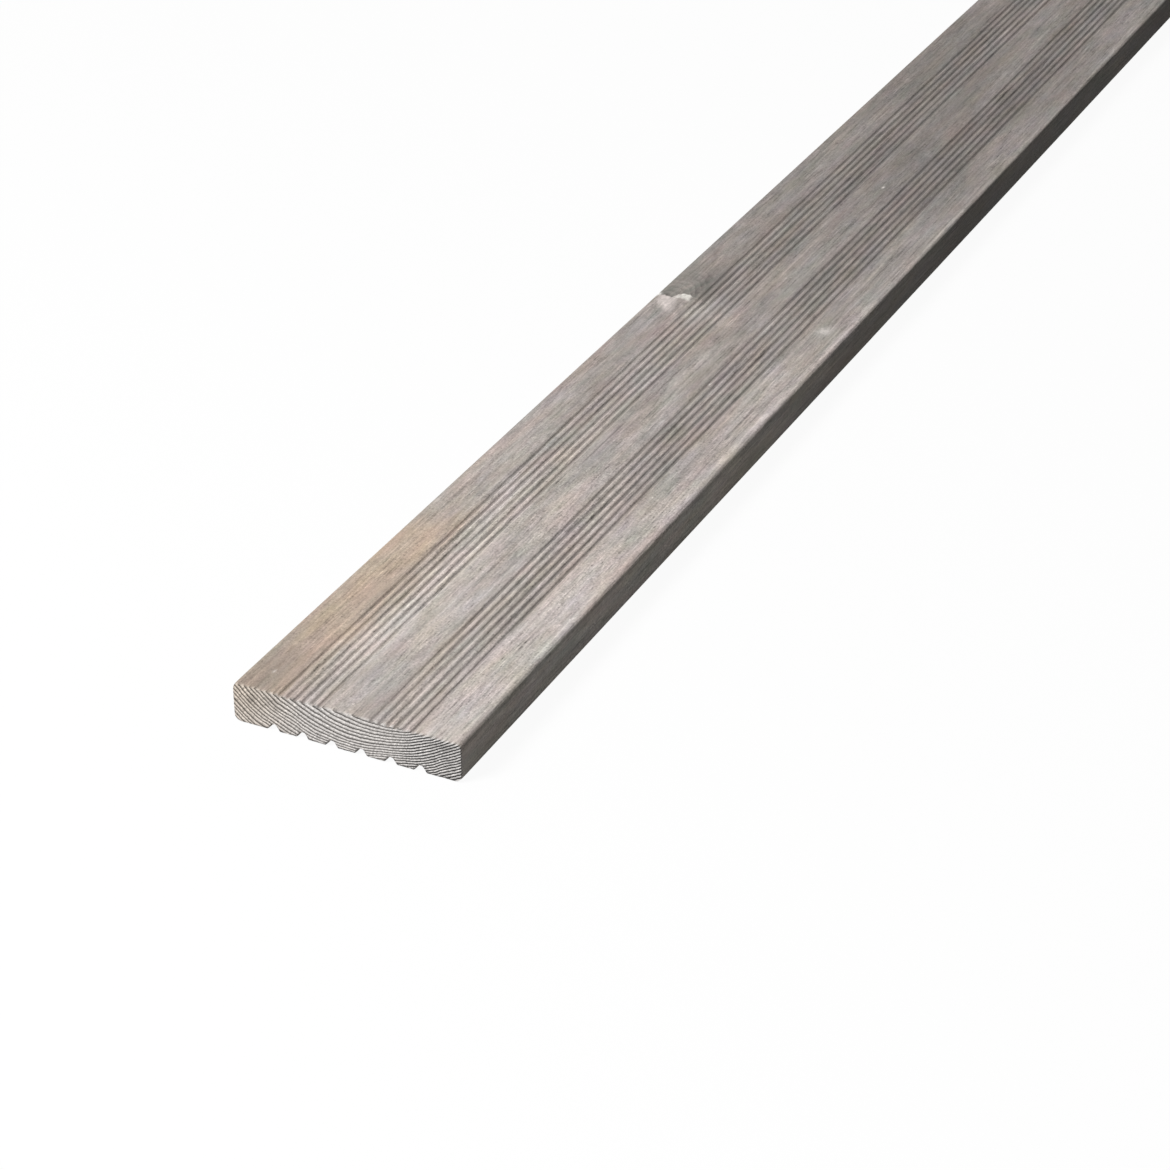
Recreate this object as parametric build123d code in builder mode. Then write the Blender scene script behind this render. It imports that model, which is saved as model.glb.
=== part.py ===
"""Grooved pine decking board, planed from one plank and cut square at both ends.

The tread face has two groups of fine round-nosed grooves. The face that lies on the
joists has six coarse drainage grooves with sloping flanks. The long edges are rounded.
X runs across the board, Y along it and Z up, with the origin at the centre of the underside.
"""

import os
from math import atan2, degrees

from build123d import *

# Board, in millimetres
length = 2400.0
width = 145.0
thickness = 25.0
tread_edge_radius = 3.0
joist_edge_radius = 4.5

# Fine grooves in the tread face, in one group beside each long edge
fine_groove_nose_radius = 1.25
fine_groove_depth = 1.0
fine_groove_pitch = 5.1
fine_grooves_per_group = 6
fine_group_margin = 30.5  # long edge to the centre of the group's first groove
fine_mouth_radius = 1.95

# Coarse grooves in the face that lies on the joists
coarse_groove_mouth = 7.4
coarse_groove_floor = 2.4
coarse_groove_depth = 3.9
coarse_groove_pitch = 18.7
coarse_groove_count = 6
coarse_mouth_radius = 1.2
coarse_floor_radius = 0.8

# Worked out from the sizes above
fine_group_span = fine_groove_pitch * (fine_grooves_per_group - 1)
fine_group_centre = width / 2 - fine_group_margin - fine_group_span / 2
fine_cutter_height = fine_groove_depth + 2 * fine_groove_nose_radius
fine_cutter_centre = thickness - fine_groove_depth + fine_cutter_height / 2
coarse_flank_run = (coarse_groove_mouth - coarse_groove_floor) / 2
coarse_flank_angle = degrees(atan2(coarse_groove_depth, coarse_flank_run))

# Places of the section's corners when they are grouped by height
underside = 0
coarse_floors = 1
tread_face = -1


def round_face(section, face, mouth_radius, edge_radius):
    """Round the mouths of a face's grooves, then the board's long edges beside it."""
    corners = section.vertices().group_by(Axis.Y)[face].sort_by(Axis.X)
    fillet(corners[1:-1], mouth_radius)
    corners = section.vertices().group_by(Axis.Y)[face].sort_by(Axis.X)
    fillet([corners[0], corners[-1]], edge_radius)


with BuildPart() as deck_board:
    with BuildSketch(Plane.XZ) as section:
        Rectangle(width, thickness, align=(Align.CENTER, Align.MIN))

        # Coarse grooves, open downwards, narrower at the floor than at the mouth
        with GridLocations(coarse_groove_pitch, 0, coarse_groove_count, 1):
            Trapezoid(
                coarse_groove_mouth,
                coarse_groove_depth,
                coarse_flank_angle,
                align=(Align.CENTER, Align.MIN),
                mode=Mode.SUBTRACT,
            )
        fillet(section.vertices().group_by(Axis.Y)[coarse_floors], coarse_floor_radius)
        round_face(section, underside, coarse_mouth_radius, joist_edge_radius)

        # Fine grooves, as a round-nosed cutter leaves them
        for group_centre in (-fine_group_centre, fine_group_centre):
            with Locations((group_centre, fine_cutter_centre)):
                with GridLocations(fine_groove_pitch, 0, fine_grooves_per_group, 1):
                    SlotOverall(
                        fine_cutter_height,
                        2 * fine_groove_nose_radius,
                        rotation=90,
                        mode=Mode.SUBTRACT,
                    )
        round_face(section, tread_face, fine_mouth_radius, tread_edge_radius)
    extrude(amount=length / 2, both=True)

deck_board.part.label = "deck_board"
os.makedirs("parts", exist_ok=True)
export_step(deck_board.part, "parts/deck_board.step")
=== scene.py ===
"""Grooved pine decking board, lying tread face up. The lengths of the wood are in millimetres."""

import math

import bpy
from mathutils import Color, Euler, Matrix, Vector, geometry, noise


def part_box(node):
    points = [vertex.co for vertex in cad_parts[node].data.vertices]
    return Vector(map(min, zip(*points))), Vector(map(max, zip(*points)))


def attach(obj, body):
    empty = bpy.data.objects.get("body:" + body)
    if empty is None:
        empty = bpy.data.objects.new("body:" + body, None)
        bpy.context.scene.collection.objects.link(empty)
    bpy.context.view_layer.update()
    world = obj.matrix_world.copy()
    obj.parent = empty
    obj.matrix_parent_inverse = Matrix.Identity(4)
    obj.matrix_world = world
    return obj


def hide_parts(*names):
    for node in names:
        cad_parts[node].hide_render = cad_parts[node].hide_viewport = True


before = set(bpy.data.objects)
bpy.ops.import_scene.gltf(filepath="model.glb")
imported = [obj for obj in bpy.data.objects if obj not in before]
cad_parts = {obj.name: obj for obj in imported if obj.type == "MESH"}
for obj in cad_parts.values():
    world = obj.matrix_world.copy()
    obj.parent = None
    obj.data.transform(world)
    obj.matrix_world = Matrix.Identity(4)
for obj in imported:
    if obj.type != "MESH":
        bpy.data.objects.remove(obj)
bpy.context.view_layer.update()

# Board
# One plank of slow-grown pine, pressure-impregnated to a soft grey. A planer's cutters leave
# two groups of fine round-nosed grooves on the tread face and coarse drainage grooves with
# sloping flanks on the joist face, and a saw cuts the ends square.

MM = 0.001
near_corner, far_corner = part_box("deck_board")
board_length = (far_corner.y - near_corner.y) / MM
board_width = (far_corner.x - near_corner.x) / MM
board_thickness = (far_corner.z - near_corner.z) / MM
tread_edge_radius = 3.0
joist_edge_radius = 4.5

fine_nose_radius = 1.25
fine_depth = 1.0
fine_pitch = 5.1
fine_count = 6
fine_margin = 30.5
fine_mouth_radius = 1.95

coarse_mouth = 7.4
coarse_floor = 2.4
coarse_depth = 3.9
coarse_pitch = 18.7
coarse_count = 6
coarse_mouth_radius = 1.2
coarse_floor_radius = 0.8

planed_step = 2.4  # longest stretch between two points across a plain face
corner_steps = 5
mouth_steps = 4
nose_steps = 6


def arc(centre, radius, start, end, steps):
    """Points along an arc, with its angles in degrees, anticlockwise from +X."""
    turns = [math.radians(start + (end - start) * k / steps) for k in range(steps + 1)]
    return [
        (centre[0] + radius * math.cos(t), centre[1] + radius * math.sin(t)) for t in turns
    ]


def round_corner(before, corner, after, radius, steps):
    """The points of the arc that rounds one corner of an outline."""
    corner = Vector(corner)
    back = (Vector(before) - corner).normalized()
    on = (Vector(after) - corner).normalized()
    half = back.angle(on) / 2
    centre = corner + (back + on).normalized() * (radius / math.sin(half))
    first = corner + back * (radius / math.tan(half)) - centre
    last = corner + on * (radius / math.tan(half)) - centre
    turn = first.angle_signed(last)
    points = []
    for k in range(steps + 1):
        angle = -turn * k / steps
        spoke = Vector(
            (
                first.x * math.cos(angle) - first.y * math.sin(angle),
                first.x * math.sin(angle) + first.y * math.cos(angle),
            )
        )
        points.append(tuple(centre + spoke))
    return points


def fine_groove(centre):
    """One groove of the tread face, from right to left: mouth, round nose, mouth."""
    nose_height = board_thickness - fine_depth + fine_nose_radius
    mouth_height = board_thickness - fine_mouth_radius
    reach = fine_nose_radius + fine_mouth_radius
    mouth_offset = math.sqrt(reach**2 - (nose_height - mouth_height) ** 2)
    lean = math.degrees(math.atan2(nose_height - mouth_height, mouth_offset))
    return (
        arc((centre + mouth_offset, mouth_height), fine_mouth_radius, 90, 180 - lean, mouth_steps)
        + arc((centre, nose_height), fine_nose_radius, -lean, lean - 180, nose_steps)[1:]
        + arc((centre - mouth_offset, mouth_height), fine_mouth_radius, lean, 90, mouth_steps)[1:]
    )


def coarse_groove(centre):
    """One groove of the joist face, from left to right: mouth, floor, mouth."""
    corners = [
        (centre - coarse_mouth, 0),
        (centre - coarse_mouth / 2, 0),
        (centre - coarse_floor / 2, coarse_depth),
        (centre + coarse_floor / 2, coarse_depth),
        (centre + coarse_mouth / 2, 0),
        (centre + coarse_mouth, 0),
    ]
    radii = (coarse_mouth_radius, coarse_floor_radius, coarse_floor_radius, coarse_mouth_radius)
    points = []
    for k, radius in enumerate(radii):
        points += round_corner(*corners[k : k + 3], radius, mouth_steps)
    return points


def section_outline():
    """The board's section as (x, z) points, anticlockwise from the left of the joist face."""
    side = board_width / 2
    top = board_thickness
    low, high = joist_edge_radius, tread_edge_radius
    outline = arc((-side + low, low), low, 180, 270, corner_steps)
    for k in range(coarse_count):
        outline += coarse_groove((k - (coarse_count - 1) / 2) * coarse_pitch)
    outline += arc((side - low, low), low, 270, 360, corner_steps)
    outline += arc((side - high, top - high), high, 0, 90, corner_steps)
    fine_centres = [side - fine_margin - k * fine_pitch for k in range(fine_count)]
    for centre in fine_centres + [-x for x in reversed(fine_centres)]:
        outline += fine_groove(centre)
    return outline + arc((-side + high, top - high), high, 90, 180, corner_steps)


def split_long_runs(outline):
    """The same outline with points added along its plain stretches."""
    points = []
    for here, there in zip(outline, outline[1:] + outline[:1]):
        run = math.dist(here, there)
        parts = max(1, math.ceil(run / planed_step))
        for k in range(parts):
            share = k / parts
            points.append(tuple(a + (b - a) * share for a, b in zip(here, there)))
    return points


def outward_normals(outline):
    """The direction out of the wood at each point of the outline."""
    normals = []
    for k, here in enumerate(outline):
        before = outline[k - 1]
        after = outline[(k + 1) % len(outline)]
        along = Vector((after[0] - before[0], after[1] - before[1])).normalized()
        normals.append(Vector((along.y, -along.x)))
    return normals


# The length is divided more closely at the sawn ends
end_steps = (0.0, 0.25, 0.7, 1.6, 3.5, 7.0)
station_step = 13.0


def stations():
    """Places along the board, from the near end to the far one."""
    half = board_length / 2
    inner = half - end_steps[-1]
    count = math.ceil(2 * inner / station_step)
    middle = [-inner + 2 * inner * k / count for k in range(1, count)]
    near = [-half + step for step in end_steps]
    return near + middle + [-y for y in reversed(near)]


# Planed wood is never quite flat: soft earlywood sinks, arrises wear and saw cuts crumble
wave_size = Vector((9.0, 160.0, 9.0))
wave_height = 0.10
wave_layers = (1.0, 2.0, 3)  # how fast the layers fade, how much finer each one is, how many
tear_size = Vector((1.3, 2.4, 1.3))
tear_depth = 0.45
tear_reach = 2.0
arris_wear = 0.16


def stretched(point, size):
    """The point in units of a pattern that is longer along the grain than across it."""
    return Vector((point.x / size.x, point.y / size.y, point.z / size.z))


def positive_noise(point):
    """Noise from 0 to 1."""
    return noise.noise(point) * 0.5 + 0.5


def surface_relief(point):
    """How far the real surface stands off the planer's section at this point."""
    wave = noise.fractal(stretched(point, wave_size), *wave_layers) * wave_height
    from_end = board_length / 2 - abs(point.y)
    crumble = math.exp(-from_end / tear_reach)
    tear = positive_noise(stretched(point, tear_size))
    return min(wave, 0.0) - crumble * (arris_wear + tear_depth * tear)


sharpest_round = 50.0  # degrees: a steeper corner is a crisp arris


def board_mesh():
    """The plank as one closed mesh: its long faces, then a fine skin of faces on each end."""
    outline = split_long_runs(section_outline())
    normals = outward_normals(outline)
    places = stations()
    vertices = []
    for y in places:
        for (x, z), normal in zip(outline, normals):
            point = Vector((x, y, z))
            off = surface_relief(point)
            vertices.append(Vector((x + normal.x * off, y, z + normal.y * off)))
    around = len(outline)
    faces = []
    for row in range(len(places) - 1):
        for k in range(around):
            here = row * around + k
            beside = row * around + (k + 1) % around
            faces.append((here, beside, beside + around, here + around))
    last_row = (len(places) - 1) * around
    for first, outwards in ((0, -1), (last_row, 1)):
        add_end_skin(vertices, faces, range(first, first + around), outwards)
    mesh = bpy.data.meshes.new("deck_board")
    mesh.from_pydata([v * MM for v in vertices], [], faces)
    mesh.validate()
    mesh.shade_smooth()
    mesh.set_sharp_from_angle(angle=math.radians(sharpest_round))
    return mesh


end_grid = 1.0
saw_mark_pitch = 2.1
saw_mark_depth = 0.05
saw_direction = (0.96, 0.28)  # the way the blade moved on, across and up
pore_size = 1.7
pore_depth = 0.12
pore_layer = 4.0  # the slice of the noise that the ends show
fill_inside = 1  # the mesher's number for triangles inside the outline only
weld_distance = 1e-4


def sawn_relief(x, z):
    """How far the saw left this point of an end below its plane."""
    moved_on = x * saw_direction[0] + z * saw_direction[1]
    marks = math.sin(2 * math.pi * moved_on / saw_mark_pitch)
    rough = positive_noise(Vector((x / pore_size, z / pore_size, pore_layer)))
    return saw_mark_depth * (1 + marks) / 2 + pore_depth * rough


def add_end_skin(vertices, faces, rim, outwards):
    """Close one end with small faces, joined to the last row of the long faces."""
    y = vertices[rim[0]].y
    flat = [Vector((vertices[k].x, vertices[k].z)) for k in rim]
    for k, point in zip(rim, flat):
        vertices[k].y -= outwards * sawn_relief(*point)
    rim_count = len(flat)
    columns = int(board_width / end_grid)
    rows = int(board_thickness / end_grid)
    for column in range(1, columns):
        for row in range(1, rows):
            shift = end_grid / 2 if row % 2 else 0.0
            x = -board_width / 2 + column * end_grid + shift
            flat.append(Vector((x, row * end_grid)))
    edges = [(k, (k + 1) % rim_count) for k in range(rim_count)]
    filled = geometry.delaunay_2d_cdt(flat, edges, [], fill_inside, weld_distance)
    points, _, triangles, origins, _, _ = filled
    numbers = {}
    for k, point in enumerate(points):
        kept_rim = [o for o in origins[k] if o < rim_count]
        if kept_rim:
            numbers[k] = rim[kept_rim[0]]
        else:
            numbers[k] = len(vertices)
            vertices.append(Vector((point.x, y - outwards * sawn_relief(*point), point.y)))
    for triangle in triangles:
        ring = [numbers[k] for k in triangle]
        faces.append(ring if outwards < 0 else ring[::-1])


board = bpy.data.objects.new("deck_board_wood", board_mesh())
bpy.context.collection.objects.link(board)


# Wood
# Growth rings round a pith that lies above the tread face, so the ends show arcs that open
# upwards and the faces show long flames and stripes. The branches of each year's whorl cross
# the rings as knots. Impregnation greyed the wood, and one near corner took less of it.

tree_seed = 7.3
seed_spread = (1.7, 2.3)
peak_start = 0.4
peak_growth = 2.4


class Field:
    """A number that varies over the wood. Arithmetic on fields makes math nodes."""

    def __init__(self, socket):
        self.socket = socket
        self.tree = socket.id_data

    def math(self, operation, *others):
        made = self.tree.nodes.new("ShaderNodeMath")
        made.operation = operation
        for socket, value in zip(made.inputs, (self, *others)):
            fill(socket, value)
        return Field(made.outputs[0])

    def __add__(self, other):
        return self.math("ADD", other)

    def __sub__(self, other):
        return self.math("SUBTRACT", other)

    def __rsub__(self, other):
        return self.math("MULTIPLY_ADD", -1.0, other)

    def __mul__(self, other):
        return self.math("MULTIPLY", other)

    def __truediv__(self, other):
        return self.math("DIVIDE", other)

    def __pow__(self, other):
        return self.math("POWER", other)

    __radd__ = __add__

    def size(self):
        return self.math("ABSOLUTE")

    def fraction(self):
        return self.math("FRACT")

    def hypot(self, other):
        return (self * self + other * other) ** 0.5

    def peaked(self):
        """The same field with its small values made smaller and its large ones larger."""
        return self * (self.size() * peak_growth + peak_start)

    def bell(self, width):
        """1 where this field is 0, falling to nothing over a width."""
        scaled = self / width
        return (scaled * scaled * -1.0).math("EXPONENT")

    def step(self, low, high):
        """0 below the low value and 1 above the high one, with a smooth rise between."""
        made = self.tree.nodes.new("ShaderNodeMapRange")
        made.interpolation_type = "SMOOTHSTEP"
        for name, value in (("Value", self), ("From Min", low), ("From Max", high)):
            fill(made.inputs[name], value)
        return Field(made.outputs["Result"])

    def fall(self, low, high):
        """1 below the low value and 0 above the high one."""
        return 1.0 - self.step(low, high)

    def between(self, start, end):
        """1 between a rise and a fall, each given as its low and its high value."""
        return self.step(*start) * self.fall(*end)


def fill(socket, value):
    """Put a field, another socket or a plain value into an input."""
    if isinstance(value, Field):
        value = value.socket
    if isinstance(value, bpy.types.NodeSocket):
        socket.id_data.links.new(value, socket)
    else:
        socket.default_value = value


def tone(red, green, blue):
    """A colour from its 0 to 255 values on a screen, as the renderer's linear values."""
    screen = Color((red / 255, green / 255, blue / 255))
    return (*screen.from_srgb_to_scene_linear(), 1.0)


class Wood:
    """The wood's material while it is being made, with the place of each point in millimetres."""

    def __init__(self, name):
        self.material = bpy.data.materials.new(name)
        self.material.use_nodes = True
        self.tree = self.material.node_tree
        self.finish = self.tree.nodes["Principled BSDF"]
        place = self.tree.nodes.new("ShaderNodeTexCoord")
        scaled = self.tree.nodes.new("ShaderNodeVectorMath")
        scaled.operation = "SCALE"
        fill(scaled.inputs[0], place.outputs["Object"])
        fill(scaled.inputs["Scale"], 1 / MM)
        self.place = scaled.outputs[0]
        self.x, self.y, self.z = self.split(self.place)
        self.facing = self.split(place.outputs["Normal"])

    def split(self, vector):
        parts = self.tree.nodes.new("ShaderNodeSeparateXYZ")
        fill(parts.inputs[0], vector)
        return [Field(s) for s in parts.outputs]

    def noise(self, across, along, detail=2.0, seed=0.0, sharp=0.5):
        """Noise about 0, with spots this wide across the grain and this long along it."""
        stretch = self.tree.nodes.new("ShaderNodeVectorMath")
        stretch.operation = "MULTIPLY_ADD"
        fill(stretch.inputs[0], self.place)
        fill(stretch.inputs[1], (1 / across, 1 / along, 1 / across))
        fill(stretch.inputs[2], (seed, seed * seed_spread[0], seed * seed_spread[1] + tree_seed))
        made = self.tree.nodes.new("ShaderNodeTexNoise")
        fill(made.inputs["Vector"], stretch.outputs[0])
        fill(made.inputs["Scale"], 1.0)
        fill(made.inputs["Detail"], detail)
        fill(made.inputs["Roughness"], sharp)
        return (Field(made.outputs[0]) - 0.5) * 2.0

    def wander(self, value, size, seed=0.0):
        """Smooth noise about 0 that follows one field only."""
        made = self.tree.nodes.new("ShaderNodeTexNoise")
        made.noise_dimensions = "1D"
        fill(made.inputs["W"], value / size + seed)
        fill(made.inputs["Scale"], 1.0)
        fill(made.inputs["Detail"], 1.0)
        return (Field(made.outputs[0]) - 0.5) * 2.0

    def mix(self, share, first, second):
        """Two colours mixed by a field."""
        made = self.tree.nodes.new("ShaderNodeMix")
        made.data_type = "RGBA"
        # The node's inputs 6 and 7 and its output 2 are the ones for colours
        fill(made.inputs[0], share)
        fill(made.inputs[6], first)
        fill(made.inputs[7], second)
        return made.outputs[2]

    def shade(self, colour, *shares):
        """A colour times a field about 1, or times one for each of its red, green and blue."""
        factors = self.tree.nodes.new("ShaderNodeCombineXYZ")
        for socket, share in zip(factors.inputs, shares if len(shares) == 3 else shares * 3):
            fill(socket, share)
        made = self.tree.nodes.new("ShaderNodeVectorMath")
        made.operation = "MULTIPLY"
        fill(made.inputs[0], colour if isinstance(colour, bpy.types.NodeSocket) else colour[:3])
        fill(made.inputs[1], factors.outputs[0])
        return made.outputs[0]


wood = Wood("weathered_pine")
from_left = wood.x + board_width / 2
from_near_end = wood.y + board_length / 2
from_middle = wood.x.size()
half_facing = (0.2, 0.6)
full_facing = (0.6, 0.9)
facing_up = wood.facing[2].step(*half_facing)
facing_down = (wood.facing[2] * -1.0).step(*half_facing)
end_mask = wood.facing[1].size().step(*full_facing)


# Parts of the tread by their places across, each border as where it starts and is complete
left_arris_end = (1.8, 4.0)
left_strip_end = (24.0, 30.0)
left_group_start, left_group_end = (28.0, 30.0), (56.5, 58.5)
right_group_start, right_group_end = (87.0, 89.0), (115.0, 117.0)
right_strip_start = (116.0, 120.0)
right_arris_start = (139.5, 142.0)
right_edge = wood.facing[0].step(*full_facing)
not_right_edge = 1.0 - right_edge
left_arris = from_left.fall(*left_arris_end)
left_strip = from_left.fall(*left_strip_end)
left_group = from_left.between(left_group_start, left_group_end)
right_group = from_left.between(right_group_start, right_group_end)
past_right_group = from_left.step(*right_strip_start)
right_strip = past_right_group * not_right_edge
right_arris = from_left.step(*right_arris_start) * not_right_edge

# How the board changes along its length
newly_cut = from_near_end.fall(15.0, 90.0)
marked = from_near_end.between((40.0, 110.0), (220.0, 340.0))
smoother = from_near_end.step(280.0, 430.0)
# Painted shade: the faces darken away from the near end and lighten again towards the far one
far_shade_span = from_near_end.between((100.0, 880.0), (1400.0, 2100.0))


def spot(across, along, wide, long):
    """1 at a place on the board, counted from its near left corner, fading to nothing round it."""
    return ((from_left - across) / wide).hypot((from_near_end - along) / long).bell(1.0)


def spots(rows):
    """The sum of spots: place across, place along, half width, half length and strength of each."""
    total = 0.0
    for across, along, wide, long, strength in rows:
        total = total + spot(across, along, wide, long) * strength
    return total


def along_board(low, high, near, far):
    """A value that changes from one to another between two places along the board."""
    return from_near_end.step(low, high) * (far - near) + near


# Rings
# The pith leaned over while the tree grew, so the arcs of different years have different
# centres, and the years of the right flank are narrower.
pith_height = 98.5
pith_lean = (1.1, -2.35, 7.2)  # sideways place of the centre, and how it moved with the radius
lean_radius = 105.0
lean_span = 20.0
lean_passes = 3  # each one brings the radius and its own centre closer together
growth_bands = ((0.0, 2.25), (89.6, 1.8), (98.6, 2.1), (109.1, 2.8))  # radius, width of a year
last_radius = 200.0
pith_drift = 14.0  # how far the pith strays from the line that it takes at the near end
drift_start = (0.0, 700.0)

away_from_end = from_near_end.step(*drift_start)
drift_x = wood.wander(wood.y, 520.0, seed=1.0) * away_from_end * pith_drift
drift_z = wood.wander(wood.y, 640.0, seed=5.0) * away_from_end * pith_drift
to_pith_z = drift_z + pith_height - wood.z
radius = (wood.x - drift_x - pith_lean[0]).hypot(to_pith_z)
for _ in range(lean_passes):
    grown = (radius - lean_radius) / lean_span
    centre_x = (grown * pith_lean[2] + pith_lean[1]) * grown + pith_lean[0]
    to_pith_x = wood.x - drift_x - centre_x
    radius = to_pith_x.hypot(to_pith_z)
pith_angle = to_pith_x.math("ARCTAN2", to_pith_z)

# Branches: place along the board, angle round the pith in degrees, and radius at the bark side
branches = (
    (566.0, -40.5, 7.0),
    (556.0, 33.0, 4.0),
    (1338.0, -14.0, 8.0),
    (1350.0, 24.0, 6.0),
    (2005.0, 10.0, 7.0),
    (1994.0, -31.0, 6.0),
)
branch_rise = 0.25
bark_distance = 110.0
knot_length = 1.25  # a knot's length along the board for each millimetre of its width
bulge_reach = 2.3
bulge_height = 0.9
bulge = 0.0
knot = 0.0
for place, angle, branch_radius in branches:
    sideways = (pith_angle - math.radians(angle)) * radius
    lengthways = from_near_end - (radius - bark_distance) * branch_rise - place
    near_branch = sideways.hypot(lengthways / knot_length) / branch_radius
    bulge = bulge + near_branch.bell(bulge_reach) * (branch_radius * bulge_height)
    knot = near_branch.fall(0.0, 1.1).math("MAXIMUM", knot)
knot_body = knot.step(0.06, 0.2)
knot_rim = (knot - 0.12).bell(0.07)

taper = 0.004  # how much the trunk narrowed for each millimetre along the board
wide_wobble = wood.noise(26.0, 420.0, detail=1.0, seed=2.0) * 2.0
fine_wobble = wood.noise(5.0, 140.0, detail=1.0, seed=3.0) * 0.4
swelling = wide_wobble + fine_wobble - bulge + from_near_end * taper
growth = radius + swelling
uneven_years = 0.3
ring_number = wood.wander(growth, 7.0, seed=9.0) * uneven_years
ends = [band[0] for band in growth_bands[1:]] + [last_radius]
for (start, year), end in zip(growth_bands, ends):
    in_band = growth.math("MAXIMUM", start).math("MINIMUM", end) - start
    ring_number = ring_number + in_band / year
# The right flank's years bend round a centre further to the right
flank_centre = 13.0
flank_year = 1.64
flank_start = (87.5, 39.7)  # radius round that centre where both sets of rings meet, ring there
flank_angles = (math.radians(12.0), math.radians(26.0))
right_flank = pith_angle.step(*flank_angles)
flank_growth = (wood.x - drift_x - flank_centre).hypot(to_pith_z) + swelling
flank_number = (flank_growth - flank_start[0]) / flank_year + flank_start[1]
ring_number = ring_number + right_flank * (flank_number - ring_number)
# Each year darkens slowly from its pale earlywood and ends in a sharp line
first_age = 0.2
ring_age = (ring_number + first_age).fraction()
latewood = ring_age.step(right_flank * 0.12 + 0.2, right_flank * -0.24 + 0.8)
latewood = latewood * ring_age.fall(0.86, 1.0)

# Texture
# Cloudy blots, streaks along the grain and a felt of short broken fibres. Each noise has its
# width across the grain and its length along it.
cloud = wood.noise(18.0, 75.0, seed=17.0)
blots = wood.noise(5.0, 15.0, seed=19.0)
bands = wood.noise(8.0, 240.0, seed=20.0)
long_streaks = wood.noise(2.6, 130.0, detail=3.0, seed=21.0, sharp=0.65).peaked()
streaks = wood.noise(1.9, 30.0, seed=25.0, sharp=0.6).peaked()
fibres = wood.noise(1.1, 9.0, detail=1.0, seed=27.0).peaked()
felt = wood.noise(1.1, 1.5, detail=1.0, seed=29.0).peaked()
strokes = wood.noise(6.0, 1.5, detail=1.0, seed=33.0)
scuffs = wood.noise(3.2, 2.2, seed=71.0).step(0.12, 0.5)
cutter_marks = wood.noise(16.0, 1.6, detail=1.0, seed=73.0).step(0.25, 0.7)
dark_lines = wood.noise(1.6, 110.0, seed=35.0, sharp=0.6).step(0.25, 0.5)
pale_lines = wood.noise(1.6, 70.0, seed=37.0, sharp=0.6).step(0.25, 0.5)
liveliness = wood.noise(16.0, 50.0, seed=61.0) * 0.9 + 1.0
liveliness = liveliness + along_board(90.0, 260.0, 0.0, 0.20)
liveliness = liveliness - left_strip * (1.0 - smoother) * 0.18
fine_grain = (fibres * 0.28 + felt * 0.34 + strokes * 0.12) * (1.0 - smoother * 0.28)
line_grain = (long_streaks * 0.34 + streaks * 0.34) * (smoother * 0.12 + 1.0)

# Planed faces
# The impregnation left them a soft grey, here greener, there pinker, and it hardly reached a
# tan corner at the near end. They are palest there, where the board was cut last.
pale_grey = tone(193, 184, 178)
mid_grey = tone(176, 167, 161)
green_grey = tone(163, 161, 153)
pink_grey = tone(187, 173, 169)
tan = tone(184, 166, 149)
peach = tone(203, 180, 157)

paleness = (wood.noise(30.0, 190.0, seed=11.0) + 0.5).step(0.2, 0.8)
paleness = paleness * (1.0 - newly_cut * 0.7) + newly_cut * 0.35
face_colour = wood.mix(paleness, mid_grey, pale_grey)
greened = wood.noise(14.0, 60.0, seed=13.0).step(-0.1, 0.5) * (1.0 - newly_cut * 0.6)
face_colour = wood.mix(greened * 0.55, face_colour, green_grey)
pinkened = wood.noise(20.0, 80.0, detail=1.0, seed=31.0).step(0.0, 0.5)
face_colour = wood.mix(pinkened * 0.5, face_colour, pink_grey)

# The tan corner, its warmest place and its darkest, which is beside the cut
tan_border = wood.noise(9.0, 40.0, seed=41.0)
tan_area = (from_left + tan_border * 10.0).fall(23.0, 46.0)
tan_area = tan_area * (from_near_end + tan_border * 60.0).fall(180.0, 265.0)
warmest = spot(14.0, 159.0, 12.0, 53.0)
darkest = spot(9.0, 9.0, 18.0, 48.0)
face_colour = wood.mix(tan_area * 0.8, face_colour, tan)
face_colour = wood.mix(warmest * 0.45, face_colour, peach)
face_colour = wood.shade(face_colour, 1.0 - darkest * 0.2)

# The tree's rings, felt and streaks show on the planed faces as lighter and darker lines
scuffed = spot(74.0, 48.0, 10.0, 40.0)
right_of_left_group = from_left.step(50.0, 62.0)
face_shade = (
    1.0
    + (cloud * 0.16 + blots * 0.14 + bands * 0.14) * (1.0 - newly_cut * 0.5)
    + (fine_grain * (1.0 - newly_cut * past_right_group * 0.22) + line_grain) * liveliness
    + scuffs * scuffed * 0.15
    + cutter_marks * marked * right_of_left_group * 0.09
    + pale_lines * 0.12
    - dark_lines * 0.16
    - latewood * 0.06
)
# Painted shade away from the near end, nearly twice as strong on the right edge
painted_far_shade = far_shade_span * (right_edge * 0.9 + 1.0) * 0.37

# Each part of the faces took the impregnation differently, and that changes along the board
strip_shade = (
    1.0
    + right_strip * along_board(110.0, 300.0, 0.25, 0.13)
    + left_group * along_board(330.0, 560.0, 0.11, 0.0)
    - right_group * along_board(260.0, 450.0, 0.0, 0.09)
    - newly_cut * (left_group * 0.10 + right_group * 0.03 + right_strip * 0.03 + 0.09)
)
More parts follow.
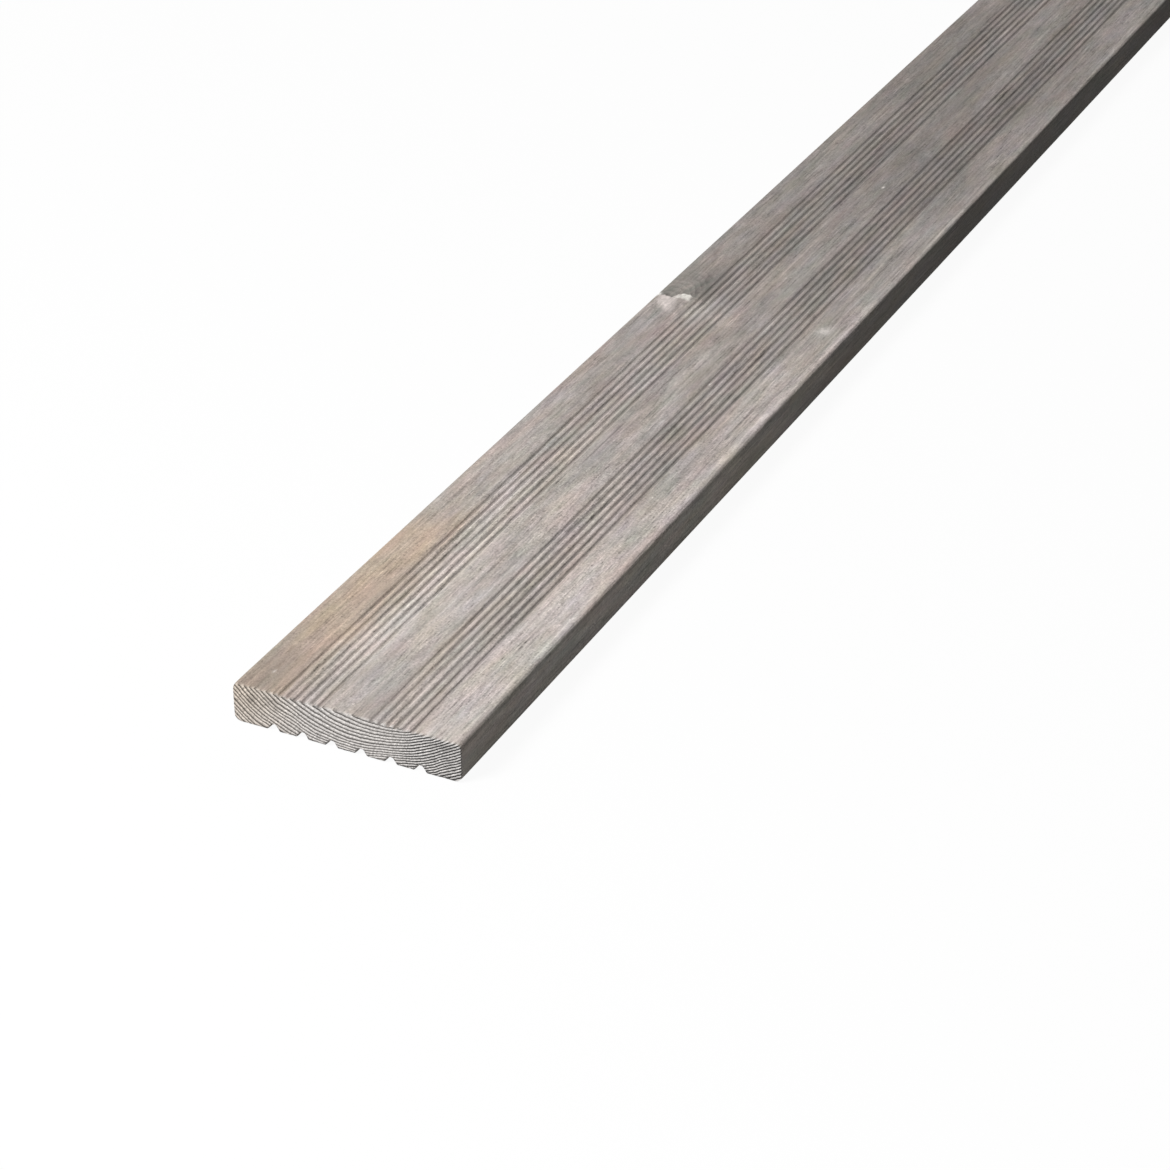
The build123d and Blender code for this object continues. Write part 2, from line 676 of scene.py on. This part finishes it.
# Painted highlight and shade on the tread's arrises: the right one is lighter, but darker at its
# round near the cut, and the left one is darker away from the cut
arris_start = (from_left - 139.3).bell(2.2) * not_right_edge
arris_round = (from_left - 142.8).bell(1.6) * right_arris
arris_line = (from_left - 142.6).bell(1.4) * right_arris
arris_light_and_shade = (
    right_arris * 0.14
    + arris_start * 0.06
    + arris_round * along_board(330.0, 580.0, -0.20, 0.12)
    - arris_line * along_board(100.0, 200.0, 0.14, 0.0)
    + spot(142.6, 665.0, 1.6, 90.0) * right_arris * 0.12
    + spot(140.6, 400.0, 2.0, 170.0) * 0.08
    - left_arris * along_board(40.0, 120.0, 0.0, 0.09)
)
# Painted light and shade on the right edge: lighter near the end, with painted shade just below the
# tread's arris and along its foot
below_arris = (wood.z - 22.3).bell(1.5) * wood.facing[0].step(0.3, 0.7)
edge_foot = wood.z.fall(1.5, 5.5) * wood.facing[0].step(*half_facing)
edge_shade = (
    right_edge * (along_board(320.0, 480.0, 0.24, 0.03) + along_board(560.0, 680.0, 0.0, 0.08))
    - below_arris * along_board(300.0, 650.0, 0.28, 0.08)
    - edge_foot * 0.22
)
# Places where it took more or less, as rows for spots
patches = (
    (14.0, 105.0, 16.0, 40.0, -0.06),
    (14.0, 310.0, 15.0, 60.0, 0.10),
    (21.0, 325.0, 7.0, 70.0, 0.06),
    (74.0, 325.0, 8.0, 70.0, -0.06),
    (75.0, 315.0, 90.0, 60.0, 0.02),
    (132.0, 465.0, 14.0, 65.0, 0.25),
    (134.0, 465.0, 8.0, 65.0, 0.07),
    (112.0, 470.0, 4.0, 70.0, 0.06),
    (85.0, 470.0, 5.0, 70.0, -0.06),
    (75.0, 550.0, 80.0, 16.0, 0.07),
    (13.0, 635.0, 18.0, 60.0, -0.12),
    (18.0, 690.0, 6.0, 70.0, -0.05),
    (43.0, 655.0, 16.0, 75.0, 0.18),
    (120.0, 680.0, 6.0, 70.0, -0.08),
    (130.0, 655.0, 14.0, 60.0, -0.08),
    (8.0, 840.0, 9.0, 80.0, 0.07),
    (13.0, 840.0, 18.0, 80.0, 0.04),
    (76.0, 830.0, 50.0, 85.0, -0.09),
)
strip_shade = strip_shade + arris_light_and_shade + edge_shade + spots(patches)
face_colour = wood.shade(face_colour, face_shade * strip_shade * (1.0 - painted_far_shade))

# Patches of the impregnation are warmer or cooler, and pinker or greener, than the rest
warmth = wood.noise(13.0, 60.0, detail=3.0, seed=63.0, sharp=0.6) * 0.10
warmth = warmth - right_strip * 0.006 + newly_cut * left_group * 0.015
pinkness = wood.noise(9.0, 36.0, detail=3.0, seed=65.0, sharp=0.6) * 0.09
face_colour = wood.shade(
    face_colour, warmth + pinkness + 1.006, right_edge * 0.025 + 1.0, pinkness - warmth + 1.0
)

# Grain swirls round the knot in the left edge. A painted sheen makes its near side pale, and
# painted shade makes it dark and green behind its ridge.
swirl_across = from_left + wood.noise(5.0, 8.0, seed=51.0) * 2.2
swirl_along = from_near_end + wood.noise(4.0, 6.0, seed=52.0) * 2.5
ridge_at_edge = 560.5
ridge_rise, ridge_drop = 8.0, 3.0
ridge_line = swirl_across.step(12.0, 17.5) * ridge_rise + ridge_at_edge
ridge_line = ridge_line - swirl_across.step(21.0, 27.0) * ridge_drop
behind_ridge = swirl_along - ridge_line
beyond = behind_ridge.step(-0.8, 0.8)
before = 1.0 - beyond
above = wood.z.step(12.0, 22.0)
leaning = swirl_across + behind_ridge * 0.15
pink_sheen_patch = before * (swirl_along + swirl_across * 0.75).step(547.0, 558.0)
pink_sheen_patch = pink_sheen_patch * leaning.between((1.0, 7.0), (11.0, 19.5))
white_sheen_patch = before * behind_ridge.step(-9.0, -5.0)
white_sheen_patch = white_sheen_patch * swirl_across.between((14.0, 17.0), (23.0, 27.0))
green_shade_zone = beyond * behind_ridge.fall(22.0, 70.0) * from_left.fall(27.0, 44.0)

# Rings of the knot, drawn out along the board
arc_centre = (9.0, 555.0)
arc_pitch = 3.6
arc_squash = 0.55
arcs = (swirl_across - arc_centre[0]).hypot((swirl_along - arc_centre[1]) * arc_squash)
arcs = (arcs / arc_pitch).fraction().step(0.1, 0.9) - 0.5
arcs = arcs * beyond * behind_ridge.fall(12.0, 60.0) * from_left.fall(24.0, 30.0)
# Painted shade just behind the ridge, near the left edge
shade_behind_ridge = beyond * behind_ridge.fall(0.5, 8.0) * swirl_across.fall(7.0, 12.0)
dark_streak = (swirl_across - 23.8).bell(2.2) * beyond * behind_ridge.fall(30.0, 55.0)

# Painted sheen colours for the near side of the ridge, and a darker painted-shade copy of the green
# grey for behind it
shade_green = wood.shade(green_grey, 0.60)
sheen_pink = tone(226, 215, 210)
sheen_white = tone(238, 234, 226)
bare_wood = tone(246, 243, 238)
smear_grey = tone(213, 206, 200)
green_share = green_shade_zone * (blots * 0.9 + 0.62) * above
face_colour = wood.mix(green_share, face_colour, shade_green)
pink_share = pink_sheen_patch * (streaks * 0.7 + 0.85) * above
face_colour = wood.mix(pink_share, face_colour, sheen_pink)
white_share = white_sheen_patch * (fibres * 0.5 + 0.92) * above
face_colour = wood.mix(white_share, face_colour, sheen_white)
speckle = wood.noise(2.4, 3.4, seed=75.0)
eye = ((from_left - 24.6) / 2.4).hypot((from_near_end - 554.0) / 4.4)
eye_rim = (eye - 1.0).bell(0.35)
pupil = eye.bell(0.65)
# Lighter and darker places round the knot, as rows for spots. The two on the grooves beside it are
# a painted highlight in front of the ridge and painted shade behind it.
swirl_spots = (
    (15.0, 580.0, 5.0, 4.5, 0.20),
    (12.0, 588.0, 5.0, 2.5, 0.10),
    (37.0, 549.0, 9.0, 15.0, 0.24),
    (34.0, 588.0, 8.0, 22.0, -0.18),
)
swirl_shade = (
    arcs * 0.22
    + (pink_sheen_patch + white_sheen_patch) * speckle * 0.32
    + eye_rim * 0.22
    - pupil * 0.30
    - shade_behind_ridge * 0.36
    - dark_streak * 0.34
    + spots(swirl_spots)
)
face_colour = wood.shade(face_colour, swirl_shade * above + 1.0)
bare_nick = spot(1.8, 561.0, 1.8, 2.6) * above
face_colour = wood.mix(bare_nick, face_colour, bare_wood)
pale_smear = spot(127.5, 556.0, 5.0, 6.0) * (speckle * 1.4 + 0.9) * above
face_colour = wood.mix(pale_smear, face_colour, smear_grey)

# Small chips show pale wood: place across, place along and strength of each
chips = ((89.7, 452.0, 1.0), (74.6, 800.0, 1.0), (15.3, 20.4, 0.4))
chip_width, chip_length = 0.9, 1.8
chip_colour = tone(240, 232, 226)
for across, along, share in chips:
    chip = spot(across, along, chip_width, chip_length) * share
    face_colour = wood.mix(chip, face_colour, chip_colour)

# Fine drying checks are dark: place across, where it starts and ends, and depth of each
checks = ((62.9, 310.0, 381.0, 0.38), (72.2, 145.0, 252.0, 0.26), (66.4, 39.0, 116.0, 0.18))
check_taper = 12.0
check_width = 0.7
for across, start, end, depth in checks:
    run = from_near_end.between((start, start + check_taper), (end - check_taper, end))
    line = (from_left + long_streaks * 2.0 - across).bell(check_width)
    face_colour = wood.shade(face_colour, 1.0 - line * run * depth)

# Knots
# They have narrow rings of their own. The two nearest ones don't show on the tread, where
# the swirl and the smear are.
rings_of_knot = 5.0
knot_light = tone(150, 131, 116)
knot_dark = tone(110, 94, 83)
knot_colour = wood.mix((knot * rings_of_knot).fraction(), knot_light, knot_dark)
shown = 1.0 - wood.z.step(17.0, 21.0) * from_near_end.fall(900.0, 1000.0)
face_colour = wood.mix(knot_body * shown * 0.8, face_colour, knot_colour)
face_colour = wood.shade(face_colour, 1.0 - (knot_rim * 0.4 + bulge * 0.014) * shown)

# The joist face saw less light and kept more of its warm colour
less_weathered = wood.shade(face_colour, 1.06, 1.0, 0.92)
face_colour = wood.mix(facing_down * 0.5, face_colour, less_weathered)

# Sawn ends
# The saw laid the rings bare, pale between dark lines of latewood, with fine rays across them.
# Painted shade darkens the lower rim and the lips of the coarse grooves, and dirt gathers in
# blotches.
earlywood_tones = (tone(230, 225, 221), tone(238, 234, 231))  # left, right flank
latewood_tones = (tone(98, 94, 91), tone(48, 47, 46))
end_light = wood.mix(right_flank, *earlywood_tones)
end_dark = wood.mix(right_flank, *latewood_tones)
end_colour = wood.mix(latewood, end_light, end_dark)
end_tan = from_left.fall(0.0, 56.0) * (wood.z.step(0.0, 20.0) * 0.3 + 0.7)
tanned_end = wood.shade(end_colour, 0.95, 0.87, 0.77)
end_colour = wood.mix(end_tan, end_colour, tanned_end)
rays = wood.wander(pith_angle, 0.012, seed=3.0)
dirt = wood.noise(5.0, 5.0, seed=67.0).step(0.15, 0.6)
# Painted shade along the lower rim of the end
low_rim_shade = wood.z.fall(0.2, 2.0) * (wood.noise(4.0, 4.0, detail=1.0, seed=69.0) + 1.0)
# Painted shade at the lips of the coarse grooves, beside each flank
flank_slope = (coarse_mouth - coarse_floor) / 2 / coarse_depth
groove_places = (wood.x / coarse_pitch).fraction() - 0.5
groove_flank = (groove_places * coarse_pitch).size() + wood.z * flank_slope - coarse_mouth / 2
between_outer = from_middle.fall(53.0, 55.0)
groove_lip_shade = groove_flank.bell(1.2) * wood.z.fall(3.5, 5.5) * between_outer
groove_lip_shade = groove_lip_shade * (0.8 - groove_places.step(-0.05, 0.05) * 0.3)
# Each stain: place across, height, half width, half height, depth of its colour
stain_rows = (
    (12.5, 17.0, 2.5, 3.0, 0.34),
    (26.0, 19.0, 5.0, 3.0, 0.18),
    (134.0, 20.5, 7.5, 2.0, 0.34),
    (137.0, 13.0, 5.0, 2.5, 0.22),
    (137.0, 1.5, 4.0, 1.6, 0.30),
)
stains = 0.0
for across, up, wide, high, depth in stain_rows:
    stain = ((from_left - across) / wide).hypot((wood.z - up) / high).bell(1.0)
    stains = stains + stain * (felt + 1.0) * depth
deep_rings = (from_left - 88.0).bell(20.0) * wood.z.fall(13.0, 18.0)
end_shade = (
    1.0
    + felt * 0.5
    + rays * 0.3
    + cloud * 0.1
    + deep_rings * (latewood * -0.28 + 0.07)
    - from_left.step(90.0, 115.0) * 0.12
    - dirt * 0.18
    - low_rim_shade * 0.5
    - groove_lip_shade
    - stains
)

# The saw frayed the rims of the ends, which show end grain a little way onto the faces
from_an_end = board_length / 2 - wood.y.size()
frayed_rim = (from_an_end + felt * 1.6).fall(0.3, 2.4)
end_share = end_mask.math("MAXIMUM", frayed_rim * 0.55)
colour = wood.mix(end_share, face_colour, wood.shade(end_colour, end_shade))

# Painted shade darkens the fine grooves, and a painted highlight makes the ribs between them paler
below_tread = board_thickness - wood.z
group_centre = board_width / 2 - fine_margin - fine_pitch * (fine_count - 1) / 2
between_arrises = from_middle.fall(62.0, 66.0)
in_fine_groove = below_tread.between((0.1, 0.9), (1.4, 2.0)) * between_arrises
near_group = (from_middle - group_centre).size()
crest_highlight = near_group.fall(13.0, 16.0) * below_tread.fall(0.1, 0.5) * facing_up
# Where both the painted groove shade and the painted rib highlight are strongest
strongest_groove_contrast = spot(102.0, 200.0, 18.0, 80.0)
colour = wood.shade(colour, crest_highlight * (strongest_groove_contrast * 0.12 + 0.10) + 1.0)
painted_groove_shade = along_board(50.0, 160.0, 0.12, 0.32) + strongest_groove_contrast * 0.08 - smoother * 0.05
colour = wood.shade(colour, 1.0 - in_fine_groove * (1.0 - end_mask) * painted_groove_shade)

# Finish
wood_roughness = 0.82
wood_gloss = 0.25
relief_strength = 0.8

relief = streaks * 0.10 + fibres * 0.09 + felt * 0.09 + latewood * 0.04
relief = relief + (pink_sheen_patch + white_sheen_patch) * above * 0.3
bump = wood.tree.nodes.new("ShaderNodeBump")
fill(bump.inputs["Height"], relief)
bump.inputs["Strength"].default_value = relief_strength
bump.inputs["Distance"].default_value = MM
fill(wood.finish.inputs["Base Color"], colour)
wood.finish.inputs["Roughness"].default_value = wood_roughness
wood.finish.inputs["Specular IOR Level"].default_value = wood_gloss
fill(wood.finish.inputs["Normal"], bump.outputs[0])

board.data.materials.append(wood.material)
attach(board, "root")
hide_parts("deck_board")


# Floor
# A plain white studio floor. It looks white from any side, and the board's shadow shows on it
# faintly, but it throws only a little light back on the board, as a lit cut-out picture does.
# From below it is clear, and it lights the joist face that lies on it.

floor_half = 20.0
floor_gap = 0.0003
floor_white = (0.90, 0.90, 0.90, 1)
floor_bare = (0.22, 0.22, 0.22, 1)
floor_glow = 0.94
patch_strength = 0.75
patch_edge_x = (0.0705, 0.0722)
patch_edge_y = (1.195, 1.1985)

floor_mesh = bpy.data.meshes.new("floor")
corners = [(-1, -1), (1, -1), (1, 1), (-1, 1)]
places = [(x * floor_half, y * floor_half, -floor_gap) for x, y in corners]
floor_mesh.from_pydata(places, [], [(0, 1, 2, 3)])
floor = bpy.data.objects.new("floor", floor_mesh)
bpy.context.collection.objects.link(floor)

floor_material = bpy.data.materials.new("studio_floor")
floor_material.use_nodes = True
tree = floor_material.node_tree
tree.nodes.clear()
bare = tree.nodes.new("ShaderNodeBsdfDiffuse")
bare.inputs["Color"].default_value = floor_bare
pale = tree.nodes.new("ShaderNodeBsdfDiffuse")
pale.inputs["Color"].default_value = floor_white
glow = tree.nodes.new("ShaderNodeEmission")
glow.inputs["Strength"].default_value = 1.0
seen = tree.nodes.new("ShaderNodeMixShader")
seen.inputs[0].default_value = floor_glow
fill(seen.inputs[1], pale.outputs[0])
fill(seen.inputs[2], glow.outputs[0])
light_path = tree.nodes.new("ShaderNodeLightPath")
seen_rays = Field(light_path.outputs["Is Camera Ray"])
for ray in ("Is Glossy Ray", "Is Transmission Ray"):
    seen_rays = seen_rays.math("MAXIMUM", Field(light_path.outputs[ray]))
either = tree.nodes.new("ShaderNodeMixShader")
fill(either.inputs[0], seen_rays)
fill(either.inputs[1], bare.outputs[0])
fill(either.inputs[2], seen.outputs[0])

floor_place = tree.nodes.new("ShaderNodeSeparateXYZ")
fill(floor_place.inputs[0], tree.nodes.new("ShaderNodeTexCoord").outputs["Object"])
under_board = Field(floor_place.outputs[0]).size().fall(*patch_edge_x)
under_board = under_board * Field(floor_place.outputs[1]).size().fall(*patch_edge_y)
lit_patch = tree.nodes.new("ShaderNodeEmission")
lit_patch.inputs["Strength"].default_value = patch_strength
covered = tree.nodes.new("ShaderNodeMixShader")
fill(covered.inputs[0], under_board * (1.0 - seen_rays))
fill(covered.inputs[1], either.outputs[0])
fill(covered.inputs[2], lit_patch.outputs[0])
one_sided = tree.nodes.new("ShaderNodeMixShader")
fill(one_sided.inputs[0], tree.nodes.new("ShaderNodeNewGeometry").outputs["Backfacing"])
fill(one_sided.inputs[1], covered.outputs[0])
fill(one_sided.inputs[2], tree.nodes.new("ShaderNodeBsdfTransparent").outputs[0])
output = tree.nodes.new("ShaderNodeOutputMaterial")
fill(output.inputs[0], one_sided.outputs[0])
floor_mesh.materials.append(floor_material)


# Light
# One large soft lamp stands high in front of the near end, left of the board, so that the
# tread face and the near end are bright and the right edge is in shade. A weaker one stands
# beyond the far end, which the first hardly reaches, and a weak even sky fills the rest.

sky_strength = 0.18
# Each lamp: place, the point it is aimed at, length of its sides, power in watts
lamps = (
    ((-1.23, -2.91, 2.14), (0.0, -0.8, 0.0), 1.0, 112.0),
    ((-0.6, 2.0, 1.4), (0.0, 0.9, 0.0), 0.9, 15.0),
)

sky = bpy.data.worlds.new("studio_sky")
sky.use_nodes = True
tree = sky.node_tree
sky_light = tree.nodes["Background"]
sky_path = tree.nodes.new("ShaderNodeLightPath")
sky_seen = Field(sky_path.outputs["Is Camera Ray"])
for ray in ("Is Glossy Ray", "Is Transmission Ray"):
    sky_seen = sky_seen.math("MAXIMUM", Field(sky_path.outputs[ray]))
fill(sky_light.inputs["Strength"], sky_seen * (1.0 - sky_strength) + sky_strength)
sky_light.inputs["Color"].default_value = (1, 1, 1, 1)
bpy.context.scene.world = sky

for lamp_place, lamp_aim, lamp_side, lamp_power in lamps:
    lamp_data = bpy.data.lights.new("softbox", "AREA")
    lamp_data.shape = "SQUARE"
    lamp_data.size = lamp_side
    lamp_data.energy = lamp_power
    lamp = bpy.data.objects.new("softbox", lamp_data)
    lamp.location = lamp_place
    aim = Vector(lamp_aim) - Vector(lamp_place)
    lamp.rotation_euler = aim.to_track_quat("-Z", "Y").to_euler()
    lamp.visible_camera = False
    bpy.context.collection.objects.link(lamp)


# Camera
# It stands to the right of the near end and looks down along the board, as in the photograph.

azimuth = math.radians(26.132)
elevation = math.radians(30.723)
lens = 98.194
sensor_width = 36.0
corner_in_view = Vector((-0.19741, -0.05441, -1.78483))  # near left corner: right, up, behind

camera_data = bpy.data.cameras.new("camera")
camera_data.lens = lens
camera_data.sensor_width = sensor_width
camera = bpy.data.objects.new("camera", camera_data)
camera.rotation_euler = Euler((math.pi / 2 - elevation, 0.0, azimuth))
near_left_corner = Vector((near_corner.x, near_corner.y, far_corner.z))
camera.location = near_left_corner - camera.rotation_euler.to_matrix() @ corner_in_view
bpy.context.collection.objects.link(camera)
bpy.context.scene.camera = camera

bpy.context.scene.view_settings.view_transform = "Standard"
